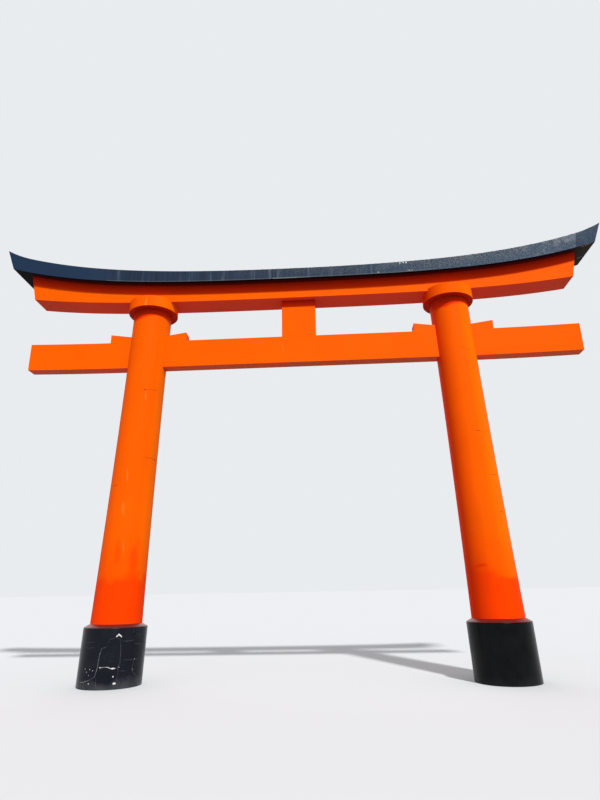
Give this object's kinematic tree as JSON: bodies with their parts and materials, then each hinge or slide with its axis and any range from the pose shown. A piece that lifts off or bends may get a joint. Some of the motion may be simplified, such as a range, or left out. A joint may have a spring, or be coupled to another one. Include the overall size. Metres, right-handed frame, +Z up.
{
  "type": "torii gate",
  "caption": "Vermilion torii gate: two leaning round pillars in black base sleeves, a wedged tie beam, a strut, collars, a lintel and an upswept black cap.",
  "frame": {"origin": "on the ground, midway between the two pillars' axes, at the middle of the gate's thickness", "axes": "+Z up; +X along the beams, to the right seen from the front; the front face looks towards -Y"},
  "size_m": [13.332, 1.158, 9.1899],
  "materials": {
    "vermilion_paint": "timber in vermilion paint, satin, redder in the shade and low down, with fine cracks",
    "black_paint": "timber in weathered black paint, matt, streaked and patched slate grey",
    "black_coating": "hard sleeve in a glossy black coating, cracked and chipped to a pale ground"
  },
  "bodies": {
    "root": {"left_base_sleeve": "black_coating", "right_base_sleeve": "black_coating", "left_pillar": "vermilion_paint", "right_pillar": "vermilion_paint", "left_collar": "vermilion_paint", "right_collar": "vermilion_paint", "tie_beam_middle": "vermilion_paint", "tie_beam_left_end": "vermilion_paint", "tie_beam_right_end": "vermilion_paint", "left_outer_wedge": "vermilion_paint", "left_inner_wedge": "vermilion_paint", "right_inner_wedge": "vermilion_paint", "right_outer_wedge": "vermilion_paint", "strut": "vermilion_paint", "lintel_middle": "vermilion_paint", "lintel_left_end": "vermilion_paint", "lintel_right_end": "vermilion_paint", "cap_middle": "black_paint", "cap_left_end": "black_paint", "cap_right_end": "black_paint"}
  },
  "joints": []
}
